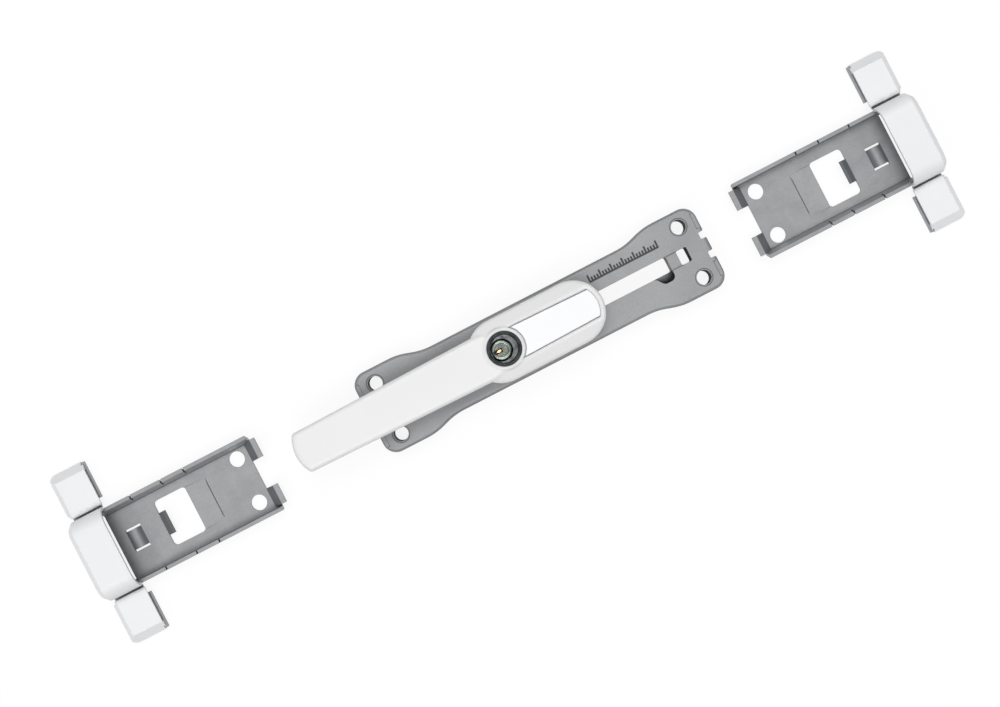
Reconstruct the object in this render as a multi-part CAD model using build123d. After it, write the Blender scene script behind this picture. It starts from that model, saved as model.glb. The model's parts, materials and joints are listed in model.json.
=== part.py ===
"""Window rod lock: a lever-driven rack lock for a sash, with a strike set for each end of its rods.

The long axis is X, the sash face is the plane z = 0 and +Z points at the user. Sizes are in millimetres.
The lock group is drawn about its own pivot, and a strike set from the tips of its hooks. The left-hand
set is the right-hand one turned half a turn about Z.
"""

import math
import os

from build123d import *

# Where the groups stand
pivot_x = 17.0  # the lock's pivot, measured from the middle of the whole set
strike_x = 126.0  # the tips of a strike set's hooks, measured from the same middle

# Cast lock body
body_length = 179.6
body_height = 11.0
waist_width = 33.9
ear_width = 41.4
ear_length = 24.8
flank_length = 11.5
flank_radius = 30.0
corner_radius = 6.7
rim_radius = 1.8
notch_depth = 2.9
notch_inner = 3.3
notch_outer = 6.7
notch_radius = 0.7
notch_mouth_radius = 0.9
end_step_width = 2.6
end_step_drop = 0.3
end_step_inset = 4.5

screw_hole_dia = 7.0
screw_inset_x = 9.8
screw_inset_y = 7.45
screw_seat_dia = 8.6
screw_seat_depth = 0.5

slot_width = 7.5
slot_start = 29.5
slot_corner = 1.0
pocket_length = 6.6
pocket_reach = 4.2
pocket_depth = 4.5
pocket_lead = 2.5
pocket_radius = 2.6
bridge_length = 5.2
bridge_drop = 0.6
window_inset = 11.0
window_length = 5.3
window_width = 7.2
window_corner = 0.8

# Gear chamber and its closing plate
top_wall = 2.5
plate_thickness = 1.5
plate_margin = 6.4
plate_lap = 1.2
plate_corner = 3.0
plate_fit = 0.15
plate_screw_inset = 5.4
plate_screw_dia = 3.0
plate_screw_head_dia = 5.6
plate_screw_length = 6.5

# Running clearances
shaft_clearance = 0.05
moving_gap = 0.3
seat_gap = 0.02

# Rack and pinion
gear_module = 1.0
pinion_teeth = 16
pressure_angle = 20.0
gear_addendum = 0.85
gear_dedendum = 1.25
gear_backlash = 0.16
rack_teeth = 12
rack_back = 13.5
rack_end_land = 0.4
tongue_show = 1.5
tongue_web = 4.0
jog_start = 10.2
coupling_hole_dia = 3.6
coupling_hole_inset = 4.0

# Turning parts
square_size = 7.0
square_fit = 0.05
hub_dia = 14.9
bush_wall = 1.0
bush_flange_dia = 22.0
bush_flange_thickness = 0.5
pinion_hub_dia = 11.6
pinion_hub_start = 0.1
spindle_start = 4.5
spindle_cap = 4.5
handle_screw_dia = 4.9
handle_screw_start = 9.0
screw_head_dia = 9.0
screw_head_height = 2.6
screw_socket = 3.0

# Handle
handle_under_gap = 0.3
head_length = 67.7
head_width = 30.2
head_shift = -1.7
handle_height = 27.0
head_slope_drop = 3.8
head_flat_width = 17.0
head_edge_radius = 1.6
lever_reach = 126.6
lever_root_width = 22.5
lever_tip_width = 19.8
lever_tip_radius = 18.0
lever_corner_radius = 2.0
lever_tip_drop = 1.0
lever_root_depth = 10.0
lever_tip_depth = 7.4
lever_edge_radius = 2.2
lever_blend_start = -27.5
lever_blend_end = -12.0

# Lock cylinder in the handle
cylinder_x = -18.65
opening_dia = 16.5
ring_dia = 19.6
ring_rise = 0.5
ring_bevel = 0.4
bore_floor_wall = 1.8
sleeve_foot = 1.9
sleeve_wall = 0.75
sleeve_sink = 0.6
sleeve_lip = 1.0
sleeve_lip_dia = 13.8
cylinder_sink = 1.1
plug_dia = 9.4
plug_shift = 1.4
plug_floor = 0.7
plug_rise = 0.2
bore_bevel = 0.8
keyway_width = 1.9
keyway_overrun = 0.3
keyway_clearance = 0.15
keyway_depth = 4.2
tumbler_dia = 1.2
tumbler_depth = 1.4
pin_dia = 4.0
pin_hole_clearance = 0.3
press_travel = 2.7
spring_wire = 0.6
spring_dia = 9.0
spring_half_turns = 7
spring_solid_height = 3.2

# Inlaid cover strip over the handle screw
strip_thickness = 1.6
strip_gap = 0.5
strip_end_gap = 0.1
strip_left_width = 15.0
strip_right_width = 13.3
strip_end_radius = 12.3

# Strike set: channel plate, measured from the tips of its hooks
sheet = 1.8
channel_start = 3.5
channel_length = 77.6
channel_half_width = 19.8
channel_height = 8.0
flange_lean = 1.9
bend_radius = 0.8
hook_length = 6.6
hook_inner = 7.2
hook_width = 9.8
hook_rise = 5.4
hook_lip = 2.4
fixing_hole_dia = 7.6
fixing_hole_inset = 6.1
fixing_spacing = 23.1
relief_places = (36.4, 48.3, 64.5)
relief_width = 0.7
relief_depth = 4.2
opening_start = 40.7
opening_length = 16.9
opening_half_width = 11.7
opening_corner = 2.0
catch_half_width = 5.8
catch_lean = 3.4
catch_rise = 4.6
ramp_length = 10.5
ramp_half_width = 11.0
ramp_rise = 0.7
ramp_step = 0.4
louvre_inset = 5.7
louvre_length = 7.8
louvre_half_width = 5.7
louvre_slit = 1.0
louvre_rise = 2.4

# Strike set: base with its arch
block_lap = 3.3
block_length = 18.3
foot_inset = 1.3
foot_lap = 2.8
foot_setback = 2.3
foot_wall_setback = 0.5
foot_wall_height = 3.5
foot_wall = 1.2
foot_wall_offset = 1.7
lug_height = 6.0
lug_depth = 2.5
lug_width = 2.0
arch_offset = 2.8
arch_length = 9.6
arch_thickness = 2.0
strike_screw_dia = 5.2
strike_screw_reach = 11.0
strike_screw_inset = 9.4

# Strike set: cover over the arch
cover_overhang = 0.8
cover_height = 18.5
cover_wall = 1.7
shoulder_radius = 8.0
cover_bevel = 2.6
cover_lift = 0.3

# Strike set: hinged screw flaps
hinge_offset = 2.9
hinge_z = 3.8
flap_crown = 2.6
flap_wall = 1.0
flap_length = 21.0
flap_tip_bevel = 3.4
flap_side_bevel = 1.6
flap_corner_cut = 2.6
flap_lift = 0.4
flap_open_from = 130.0
hinge_pin_dia = 1.4
ear_radius = 1.3
ear_thickness = 1.5
ear_inset = 2.2
hinge_pin_proud = 0.2

# Values that follow from the ones above
pitch_radius = gear_module * pinion_teeth / 2
tooth_pitch = math.pi * gear_module
body_half_length = body_length / 2
ear_start = body_half_length - ear_length
waist_end = ear_start - flank_length
chamber_top = body_height - top_wall
gear_bottom = plate_thickness + moving_gap
gear_top = chamber_top - moving_gap
rack_root = pitch_radius + gear_dedendum
travel = math.pi * pitch_radius
screw_x = body_half_length - screw_inset_x
screw_y = ear_width / 2 - screw_inset_y
window_start = body_half_length - window_inset - window_length
slot_end = window_start - bridge_length
tongue_reach = slot_start + tongue_show
chamber_end = jog_start + tongue_web + travel + moving_gap
chamber_half_width = rack_back + moving_gap
plate_length = 2 * (chamber_end + plate_margin)
plate_width = 2 * (chamber_half_width + plate_lap)
plate_screw_x = chamber_end + plate_margin / 2
plate_screw_y = plate_width / 2 - plate_screw_inset

handle_under = body_height + bush_flange_thickness + handle_under_gap
head_edge_z = handle_height - head_slope_drop
lever_tip_top = handle_height - lever_tip_drop
strip_floor = handle_height - strip_thickness
screw_head_seat = strip_floor - screw_head_height - moving_gap
spindle_top = screw_head_seat - spindle_cap
bore_floor = handle_under + bore_floor_wall
sleeve_start = bore_floor + sleeve_foot
sleeve_top = handle_height - sleeve_sink
cylinder_start = bore_floor + spring_solid_height + press_travel
cylinder_face = handle_height - cylinder_sink
head_radius = head_width / 2
head_left = head_shift - head_length / 2
head_right = head_shift + head_length / 2
sleeve_inner = opening_dia / 2 - sleeve_wall
square_hole = square_size + 2 * square_fit
plug_x = cylinder_x - plug_shift

plate_start = hook_length
channel_end = channel_start + channel_length
fixing_hole_x = plate_start + fixing_hole_inset
opening_end = opening_start + opening_length
ramp_start = opening_start - ramp_length
louvre_end = channel_end - louvre_inset
louvre_start = louvre_end - louvre_length
block_start = channel_end - block_lap
block_end = block_start + block_length
arch_start = channel_end + arch_offset
arch_end = arch_start + arch_length
cover_half_width = channel_half_width + cover_overhang
hinge_y = cover_half_width + hinge_offset
flap_tip = hinge_y + flap_length
foot_inner = channel_half_width - foot_lap
foot_outer = flap_tip - foot_setback
foot_wall_start = hinge_y + foot_wall_offset
foot_wall_end = flap_tip - foot_wall_setback
strike_screw_x = block_start + strike_screw_inset
strike_screw_y = hinge_y + strike_screw_reach
inner_ear_x = block_start + ear_inset
outer_ear_x = block_end - flap_wall - flap_side_bevel - moving_gap - ear_thickness


def bar(x0, x1, y0, y1, z0, z1):
    """A rectangular solid between six limits."""
    middle = ((x0 + x1) / 2, (y0 + y1) / 2, (z0 + z1) / 2)
    return Pos(*middle) * Box(abs(x1 - x0), abs(y1 - y0), abs(z1 - z0))


def disc(diameter, z0, z1, x=0.0, y=0.0):
    """An upright round solid between two heights."""
    return Pos(x, y, (z0 + z1) / 2) * Cylinder(diameter / 2, z1 - z0)


def prism(points, z0, z1):
    """A closed outline in plan, raised between two heights."""
    return Pos(0, 0, z0) * extrude(make_face(Polyline(*points, close=True)), z1 - z0)


def section_along_x(outline, x0, x1):
    """A (y, z) section carried along X between two places."""
    placed = Plane(origin=(x0, 0, 0), x_dir=(0, 1, 0), z_dir=(1, 0, 0)) * outline
    return extrude(placed, x1 - x0)


def section_along_y(outline, y0, y1):
    """An (x, z) section carried along Y between two places."""
    placed = Plane(origin=(0, y1, 0), x_dir=(1, 0, 0), z_dir=(0, -1, 0)) * outline
    return extrude(placed, y1 - y0)


def half_turn(shape):
    """The same shape turned half a turn about Z."""
    return Rot(0, 0, 180) * shape


def both_ways(shape):
    """A shape with its half-turned twin."""
    return shape + half_turn(shape)


def four_corners(x, y):
    """The corners of a rectangle centred on the axis."""
    return [(x, y), (x, -y), (-x, -y), (-x, y)]


# Cast lock body


def body_outline():
    """Waisted plate with wide ears, its flanks swept in by two large arcs."""
    quarter = [
        (waist_end, waist_width / 2),
        (ear_start, ear_width / 2),
        (body_half_length, ear_width / 2),
    ]
    right = quarter + [(x, -y) for x, y in reversed(quarter)]
    points = right + [(-x, -y) for x, y in right]
    outline = make_face(Polyline(*points, close=True))
    corners = outline.vertices().filter_by(lambda v: abs(v.X) > body_half_length - 1)
    outline = fillet(corners, corner_radius)
    flanks = outline.vertices().filter_by(lambda v: abs(v.X) < ear_start + 1)
    return fillet(flanks, flank_radius)


def end_notches():
    """The two cast notches in one end of the body, their mouths rounded."""
    floor = body_half_length - notch_depth
    mouth = 1.3 * notch_mouth_radius
    outline = make_face(
        Polyline(
            (body_half_length + 1, notch_inner - mouth),
            (body_half_length, notch_inner - mouth),
            (body_half_length, notch_inner),
            (floor, notch_inner),
            (floor, notch_outer),
            (body_half_length, notch_outer),
            (body_half_length, notch_outer + mouth),
            (body_half_length + 1, notch_outer + mouth),
            close=True,
        )
    )
    inside = outline.vertices().filter_by(lambda v: v.X < floor + 0.01)
    outline = fillet(inside, notch_radius)
    lips = outline.vertices().filter_by(
        lambda v: abs(v.X - body_half_length) < 0.01
        and notch_inner - 0.1 < v.Y < notch_outer + 0.1
    )
    outline = fillet(lips, notch_mouth_radius)
    notch = Pos(0, 0, -1) * extrude(outline, body_height + 2)
    return notch + mirror(notch, Plane.XZ)


def end_steps():
    """Shallow stepped bands along one end, outside the notches."""
    cuts = Part()
    for side in (1, -1):
        cuts += bar(
            body_half_length - end_step_width,
            body_half_length + 1,
            side * (notch_outer + 2 * notch_mouth_radius),
            side * (ear_width / 2 - end_step_inset),
            body_height - end_step_drop,
            body_height + 1,
        )
    return cuts


def slot_pocket():
    """Blind pocket beside the slot's end, swept in from the slot's wall."""
    wall = -slot_width / 2
    low = wall - pocket_reach
    start = slot_end - pocket_length
    outline = make_face(
        Polyline(
            (start - 2 * pocket_lead, 0),
            (start - 2 * pocket_lead, wall),
            (start - pocket_lead, wall),
            (start + pocket_lead / 4, low),
            (slot_end, low),
            (slot_end, 0),
            close=True,
        )
    )
    corners = outline.vertices().filter_by(
        lambda v: v.Y < low + 0.01 or abs(v.X - start + pocket_lead) < 0.01
    )
    outline = fillet(corners, pocket_radius)
    return Pos(0, 0, body_height - pocket_depth) * extrude(outline, pocket_depth + 1)


def rod_slot():
    """Slot for the rod coupling, with its side pocket, bridge and end window."""
    half = slot_width / 2
    slot = bar(slot_start, slot_end, -half, half, -1, body_height + 1)
    slot = fillet(slot.edges().filter_by(Axis.Z), slot_corner)
    bridge = bar(
        slot_end - slot_corner,
        window_start + slot_corner,
        -half,
        half,
        body_height - bridge_drop,
        body_height + 1,
    )
    window = bar(
        window_start,
        window_start + window_length,
        -window_width / 2,
        window_width / 2,
        -1,
        body_height + 1,
    )
    window = fillet(window.edges().filter_by(Axis.Z), window_corner)
    return slot + slot_pocket() + bridge + window


def rack_chamber():
    """Room for one rack: a long bay for its teeth and a short one for its jog."""
    half = slot_width / 2
    bay = bar(
        -(rack_teeth - 2) * tooth_pitch - 1.0,
        chamber_end,
        -chamber_half_width,
        -pitch_radius + gear_addendum + moving_gap,
        plate_thickness,
        chamber_top,
    )
    jog_bay = bar(
        jog_start - 2 * moving_gap,
        chamber_end,
        -chamber_half_width,
        half,
        plate_thickness,
        chamber_top,
    )
    return bay + jog_bay


def lock_body():
    body = extrude(body_outline(), body_height)
    body = fillet(body.edges().group_by(Axis.Z)[-1], rim_radius)
    for cut in (end_notches(), end_steps(), rod_slot(), rack_chamber()):
        body -= both_ways(cut)
    body -= disc(2 * (pitch_radius + gear_module + 0.5), plate_thickness, chamber_top)
    body -= disc(hub_dia + 2 * (shaft_clearance + bush_wall), 0, body_height + 1)
    recess = Rectangle(plate_length + 2 * plate_fit, plate_width + 2 * plate_fit)
    recess = fillet(recess.vertices(), plate_corner + plate_fit)
    body -= Pos(0, 0, -1) * extrude(recess, plate_thickness + 1)
    for x, y in four_corners(screw_x, screw_y):
        body -= disc(screw_hole_dia, -1, body_height + 1, x, y)
        body -= disc(screw_seat_dia, body_height - screw_seat_depth, body_height + 1, x, y)
    for x, y in four_corners(plate_screw_x, plate_screw_y):
        body -= disc(plate_screw_dia, 0, plate_screw_length + moving_gap, x, y)
    for x in (cylinder_x, -cylinder_x):
        body -= disc(pin_dia + 2 * pin_hole_clearance, chamber_top - 1, body_height + 1, x)
    return body


def back_plate():
    outline = Rectangle(plate_length, plate_width)
    outline = fillet(outline.vertices(), plate_corner)
    plate = extrude(outline, plate_thickness)
    plate -= disc(pinion_hub_dia + 2 * shaft_clearance, -1, plate_thickness + 1)
    half = slot_width / 2
    plate -= both_ways(bar(slot_start, plate_length, -half, half, -1, plate_thickness + 1))
    for x, y in four_corners(plate_screw_x, plate_screw_y):
        plate -= Pos(x, y, plate_thickness / 2) * Cone(
            plate_screw_head_dia / 2, plate_screw_dia / 2, plate_thickness
        )
    return plate


def back_plate_screws():
    screws = Part()
    for x, y in four_corners(plate_screw_x, plate_screw_y):
        head = Pos(x, y, plate_thickness / 2) * Cone(
            plate_screw_head_dia / 2 - seat_gap,
            plate_screw_dia / 2 - seat_gap,
            plate_thickness,
        )
        shank = disc(plate_screw_dia - 2 * seat_gap, plate_thickness, plate_screw_length, x, y)
        drive = bar(x - 1.8, x + 1.8, y - 0.3, y + 0.3, -1, 0.7)
        screws += head + shank - drive
    return screws


def bearing_bush():
    """Flanged bush that carries the handle's hub in the top wall."""
    inner = hub_dia + 2 * shaft_clearance
    outer = inner + 2 * bush_wall
    flange_top = body_height + bush_flange_thickness
    bush = disc(outer - 2 * seat_gap, chamber_top, flange_top)
    bush += disc(bush_flange_dia, body_height, flange_top)
    return bush - disc(inner, 0, flange_top + 1)


# Rack and pinion


def involute_flank(half_angle, root_radius, tip_radius, steps=5):
    """Points of one tooth flank, from the root to the tip, on the side of growing angle."""
    base_radius = pitch_radius * math.cos(math.radians(pressure_angle))

    def spread(radius):
        turn = math.acos(min(1.0, base_radius / radius))
        return math.tan(turn) - turn

    points = [(root_radius, half_angle + spread(pitch_radius))]
    for step in range(steps + 1):
        radius = base_radius + (tip_radius - base_radius) * step / steps
        points.append((radius, half_angle + spread(pitch_radius) - spread(radius)))
    return points


def pinion():
    """Toothed wheel with a lower hub that turns in the back plate."""
    root_radius = pitch_radius - gear_dedendum
    tip_radius = pitch_radius + gear_addendum
    half_angle = (tooth_pitch / 2 - gear_backlash) / 2 / pitch_radius
    flank = involute_flank(half_angle, root_radius, tip_radius)
    tooth = [(r, -a) for r, a in flank] + [(r, a) for r, a in reversed(flank)]
    points = []
    for index in range(pinion_teeth):
        middle = math.pi / 2 + index * 2 * math.pi / pinion_teeth
        points += [(r * math.cos(middle + a), r * math.sin(middle + a)) for r, a in tooth]
    wheel = prism(points, gear_bottom, gear_top)
    wheel += disc(pinion_hub_dia, pinion_hub_start, chamber_top)
    square = Rectangle(square_hole, square_hole)
    return wheel - extrude(square, body_height)


def rack():
    """The rack on the -Y side: straight teeth, a jog to the centreline and a tongue in the slot."""
    lean = math.tan(math.radians(pressure_angle))
    half_tooth = (tooth_pitch / 2 - gear_backlash) / 2
    tip = -pitch_radius + gear_addendum
    at_tip = half_tooth - lean * gear_addendum
    at_root = half_tooth + lean * gear_dedendum
    first = -(rack_teeth - 2 - 0.5) * tooth_pitch
    points = [(first - at_root - rack_end_land, -rack_back), (first - at_root - rack_end_land, -rack_root)]
    for index in range(rack_teeth):
        middle = first + index * tooth_pitch
        points += [
            (middle - at_root, -rack_root),
            (middle - at_tip, tip),
            (middle + at_tip, tip),
            (middle + at_root, -rack_root),
        ]
    half = slot_width / 2 - moving_gap
    points += [
        (jog_start, -rack_root),
        (jog_start, half),
        (tongue_reach, half),
        (tongue_reach, -half),
        (jog_start + tongue_web, -half),
        (jog_start + tongue_web, -rack_back),
    ]
    part = prism(points, gear_bottom, gear_top)
    hole_x = tongue_reach - coupling_hole_inset
    return part - disc(coupling_hole_dia, 0, body_height, hole_x)


# Handle and what turns with it


def lever():
    """Tapered grip: its plan cut by its side view, then its long edges rounded."""
    half_root = lever_root_width / 2
    half_tip = lever_tip_width / 2
    sag = lever_tip_radius - math.sqrt(lever_tip_radius**2 - half_tip**2)
    tip_x = -lever_reach + sag
    flat = head_flat_width / 2 - 1.0
    plan = make_face(
        [
            Polyline(
                (tip_x, half_tip),
                (lever_blend_start, half_root),
                (lever_blend_end, flat),
                (lever_blend_end, -flat),
                (lever_blend_start, -half_root),
                (tip_x, -half_tip),
            ),
            ThreePointArc((tip_x, -half_tip), (-lever_reach, 0), (tip_x, half_tip)),
        ]
    )
    ends = plan.vertices().group_by(Axis.X)[0]
    plan = fillet(ends, lever_corner_radius)
    side = make_face(
        Polyline(
            (lever_blend_end + 5, handle_height - lever_root_depth),
            (lever_blend_end + 5, handle_height),
            (head_left, handle_height),
            (-lever_reach - 1, lever_tip_top),
            (-lever_reach - 1, lever_tip_top - lever_tip_depth),
            (head_left, handle_height - lever_root_depth),
            close=True,
        )
    )
    grip = extrude(plan, handle_height + 5) & section_along_y(side, -half_root - 2, half_root + 2)
    upper = grip.faces().filter_by(lambda f: f.normal_at().Z > 0.9).edges()
    return fillet(upper.filter_by(lambda e: e.center().X < lever_blend_end - 1), lever_edge_radius)


def head():
    """Stadium head whose long sides slope up to a flat crown."""
    plan = Pos(head_shift, 0, 0) * SlotOverall(head_length, head_width)
    half_flat = head_flat_width / 2
    crown = make_face(
        Polyline(
            (-head_radius - 1, handle_under),
            (head_radius + 1, handle_under),
            (head_radius + 1, head_edge_z),
            (half_flat, handle_height),
            (-half_flat, handle_height),
            (-head_radius - 1, head_edge_z),
            close=True,
        )
    )
    solid = section_along_x(crown, head_left - 1, head_right + 1) & extrude(plan, handle_height + 5)
    rim = solid.edges().filter_by(lambda e: e.center().Z > head_edge_z + 0.2)
    rim = rim.filter_by(lambda e: abs(e.center().X - head_shift) > head_length / 2 - head_radius)
    return fillet(rim, head_edge_radius)


def strip_outline(grow, end_grow):
    """Plan of the cover strip, grown by one width at its sides and left end, another at its right."""
    left_arc = ring_dia / 2 + strip_gap - grow
    right_arc = strip_end_radius + end_grow
    right_centre = head_right - head_radius
    half_left = strip_left_width / 2 + grow
    half_right = strip_right_width / 2 + grow
    left_x = cylinder_x + math.sqrt(left_arc**2 - half_left**2)
    right_x = right_centre + math.sqrt(right_arc**2 - half_right**2)
    return make_face(
        [
            Line((left_x, half_left), (right_x, half_right)),
            ThreePointArc(
                (right_x, half_right), (right_centre + right_arc, 0), (right_x, -half_right)
            ),
            Line((right_x, -half_right), (left_x, -half_left)),
            ThreePointArc((left_x, -half_left), (cylinder_x + left_arc, 0), (left_x, half_left)),
        ]
    )


def handle():
    """One casting: head, lever, ring round the cylinder and the hub under the head."""
    body = head() + lever()
    ring_top = handle_height + ring_rise
    ring = disc(ring_dia, handle_height - 2, ring_top, cylinder_x)
    body += chamfer(ring.edges().group_by(Axis.Z)[-1], ring_bevel)
    body += disc(hub_dia, chamber_top, handle_under)
    body -= disc(opening_dia, bore_floor, ring_top + 1, cylinder_x)
    body -= disc(pin_dia + 2 * pin_hole_clearance, 0, bore_floor + 1, cylinder_x)
    seat = strip_outline(strip_gap, strip_end_gap)
    body -= Pos(0, 0, strip_floor) * extrude(seat, strip_thickness + 1)
    square = Rectangle(square_hole, square_hole)
    body -= extrude(square, spindle_top + square_fit)
    body -= disc(handle_screw_dia + 4 * shaft_clearance, 0, handle_height)
    body -= disc(screw_head_dia + 2 * moving_gap, screw_head_seat, handle_height)
    return body


def cover_strip():
    strip = Pos(0, 0, strip_floor) * extrude(strip_outline(0, 0), strip_thickness)
    return fillet(strip.edges().group_by(Axis.Z)[-1], 0.3)


def spindle():
    square = Rectangle(square_size, square_size)
    bar_solid = Pos(0, 0, spindle_start) * extrude(square, spindle_top - spindle_start)
    bar_solid = chamfer(bar_solid.edges().group_by(Axis.Z)[0], 0.6)
    return bar_solid - disc(handle_screw_dia, handle_screw_start - 0.5, spindle_top + 1)


def handle_screw():
    head_top = screw_head_seat + screw_head_height
    screw = disc(handle_screw_dia - 2 * seat_gap, handle_screw_start, screw_head_seat)
    screw += disc(screw_head_dia, screw_head_seat, head_top)
    hexagon = RegularPolygon(screw_socket, 6)
    return screw - Pos(0, 0, head_top - 1.6) * extrude(hexagon, 3)


def cylinder_sleeve():
    """Liner pressed into the handle, with the lip that stops the cylinder."""
    sleeve = disc(opening_dia - 2 * seat_gap, sleeve_start, sleeve_top, cylinder_x)
    sleeve -= disc(2 * sleeve_inner, sleeve_start - 1, sleeve_top - sleeve_lip, cylinder_x)
    return sleeve - disc(sleeve_lip_dia, sleeve_start - 1, sleeve_top + 1, cylinder_x)


def cylinder_body():
    """The part that is pressed in: a stepped drum bored off-centre for the plug, notched for the key."""
    step = sleeve_top - sleeve_lip - moving_gap
    drum = disc(2 * (sleeve_inner - shaft_clearance), cylinder_start, step, cylinder_x)
    face = disc(sleeve_lip_dia - 2 * moving_gap, step, cylinder_face, cylinder_x)
    drum += chamfer(face.edges().group_by(Axis.Z)[-1], 0.3)
    floor = cylinder_start + plug_floor
    bore_radius = plug_dia / 2 + shaft_clearance
    drum -= disc(2 * bore_radius, floor, cylinder_face + 1, plug_x)
    drum -= Pos(plug_x, 0, cylinder_face - bore_bevel / 2) * Cone(
        bore_radius, bore_radius + bore_bevel, bore_bevel
    )
    half_notch = keyway_width / 2 + keyway_clearance
    notch_floor = cylinder_face + plug_rise - keyway_depth
    rim = cylinder_x - sleeve_inner
    return drum - bar(rim - 1, plug_x, -half_notch, half_notch, notch_floor, cylinder_face + 1)


def key_plug():
    """Rotor with its keyway, open towards the rim on the lever's side."""
    top = cylinder_face + plug_rise
    plug = disc(plug_dia, cylinder_start + plug_floor + shaft_clearance, top, plug_x)
    plug = chamfer(plug.edges().group_by(Axis.Z)[-1], 0.3)
    keyway = bar(
        plug_x - plug_dia / 2 - 1,
        plug_x + keyway_overrun,
        -keyway_width / 2,
        keyway_width / 2,
        top - keyway_depth,
        top + 1,
    )
    return plug - keyway


def tumbler_pin():
    """The brass tumbler that shows in the keyway, lying in the plug."""
    z = cylinder_face + plug_rise - tumbler_depth
    pin = Pos(plug_x - 0.5, 0, z) * Rot(90, 0, 0) * Cylinder(tumbler_dia / 2, keyway_width)
    return pin


def locking_pin():
    pin = disc(pin_dia, body_height + moving_gap, cylinder_start, cylinder_x)
    return chamfer(pin.edges().group_by(Axis.Z)[0], 0.4)


def return_spring():
    """Open coil between the bore's floor and the cylinder, each half turn an arc in a tilted plane."""
    rise = (cylinder_start - bore_floor - spring_wire) / spring_half_turns
    radius = math.hypot(spring_dia / 2, rise / 2)
    tilt = math.degrees(math.atan2(rise, spring_dia))
    arc = Rot(0, tilt, 0) * Torus(radius, spring_wire / 2, major_angle=180, align=None)
    coil = Part()
    for turn in range(spring_half_turns):
        z = bore_floor + spring_wire / 2 + (turn + 0.5) * rise
        coil += Pos(cylinder_x, 0, z) * Rot(0, 0, 180 * turn) * arc
    return coil


# Strike set at the right-hand end


def channel_section():
    """The plate's section: a flat web, one upright flange and one that leans out."""
    flange = channel_half_width
    foot = flange - flange_lean
    points = [
        (flange, 0),
        (flange, channel_height),
        (flange - sheet, channel_height),
        (flange - sheet, sheet),
        (-foot + sheet, sheet),
        (-flange + sheet, channel_height),
        (-flange, channel_height),
        (-foot, 0),
    ]
    section = make_face(Polyline(*points, close=True))
    inner = section.vertices().filter_by(lambda v: abs(v.Y - sheet) < 0.01)
    section = fillet(inner, bend_radius)
    outer = section.vertices().filter_by(lambda v: abs(v.Y) < 0.01)
    return fillet(outer, bend_radius + sheet / 2)


def hook(side):
    """A joggled tongue at the plate's inner end."""
    slope = hook_length - hook_lip
    points = [
        (plate_start + 1, 0),
        (plate_start + 1, sheet),
        (plate_start, sheet),
        (plate_start - slope, hook_rise + sheet),
        (0, hook_rise + sheet),
        (0, hook_rise),
        (plate_start - slope + 0.8, hook_rise),
        (plate_start - 0.2, 0),
    ]
    outline = make_face(Polyline(*points, close=True))
    low, high = sorted((side * hook_inner, side * (hook_inner + hook_width)))
    return section_along_y(outline, low, high)


def catch_tab():
    """Tab on the opening's outer edge, bent up and back over the opening."""
    points = [
        (opening_end + 1, 0),
        (opening_end + 1, sheet),
        (opening_end, sheet),
        (opening_end - catch_lean, sheet + catch_rise),
        (opening_end - catch_lean - 1.2, sheet + catch_rise - 0.9),
        (opening_end - 1.5, 0),
    ]
    outline = make_face(Polyline(*points, close=True))
    return section_along_y(outline, -catch_half_width, catch_half_width)


def louvre():
    """Strip lanced out of the web and pushed up between two slits."""
    middle = (louvre_start + louvre_end) / 2
    outline = make_face(
        [
            ThreePointArc((louvre_start, sheet), (middle, sheet + louvre_rise), (louvre_end, sheet)),
            Line((louvre_end, sheet), (louvre_end, 0)),
            ThreePointArc((louvre_end, 0), (middle, louvre_rise), (louvre_start, 0)),
            Line((louvre_start, 0), (louvre_start, sheet)),
        ]
    )
    half = louvre_half_width - louvre_slit
    return section_along_y(outline, -half, half)


def end_plate():
    plate = section_along_x(channel_section(), channel_start, channel_end)
    inside = channel_half_width - flange_lean - sheet - bend_radius
    plate -= bar(channel_start - 1, plate_start, -inside, inside, -1, sheet + 1)
    for y in (fixing_spacing / 2, -fixing_spacing / 2):
        plate -= disc(fixing_hole_dia, -1, sheet + 1, fixing_hole_x, y)
    middle = (opening_start + opening_end) / 2
    opening = Rectangle(opening_end - opening_start, 2 * opening_half_width)
    opening = fillet(opening.vertices(), opening_corner)
    plate -= Pos(middle, 0, -1) * extrude(opening, sheet + 2)
    half = louvre_half_width
    plate -= bar(louvre_start, louvre_end, -half, half, -1, sheet + 1)
    for place in relief_places:
        for side in (1, -1):
            plate -= bar(
                place - relief_width / 2,
                place + relief_width / 2,
                side * (channel_half_width - flange_lean - sheet - 0.2),
                side * (channel_half_width + 1),
                channel_height - relief_depth,
                channel_height + 1,
            )
    ramp = make_face(
        Polyline(
            (ramp_start, sheet),
            (opening_start, sheet),
            (opening_start, sheet + ramp_rise),
            (ramp_start + ramp_step, sheet + ramp_step),
            close=True,
        )
    )
    plate += section_along_y(ramp, -ramp_half_width, ramp_half_width)
    plate += hook(1) + hook(-1) + catch_tab() + louvre()
    return plate


def arch_section(half_width, height, radius, floor):
    """Upright sides joined by rounded shoulders, for the arch and for its cover."""
    outline = make_face(
        Polyline(
            (-half_width, floor),
            (-half_width, height),
            (half_width, height),
            (half_width, floor),
            close=True,
        )
    )
    top = outline.vertices().filter_by(lambda v: v.Y > height - 0.01)
    return fillet(top, radius)


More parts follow.
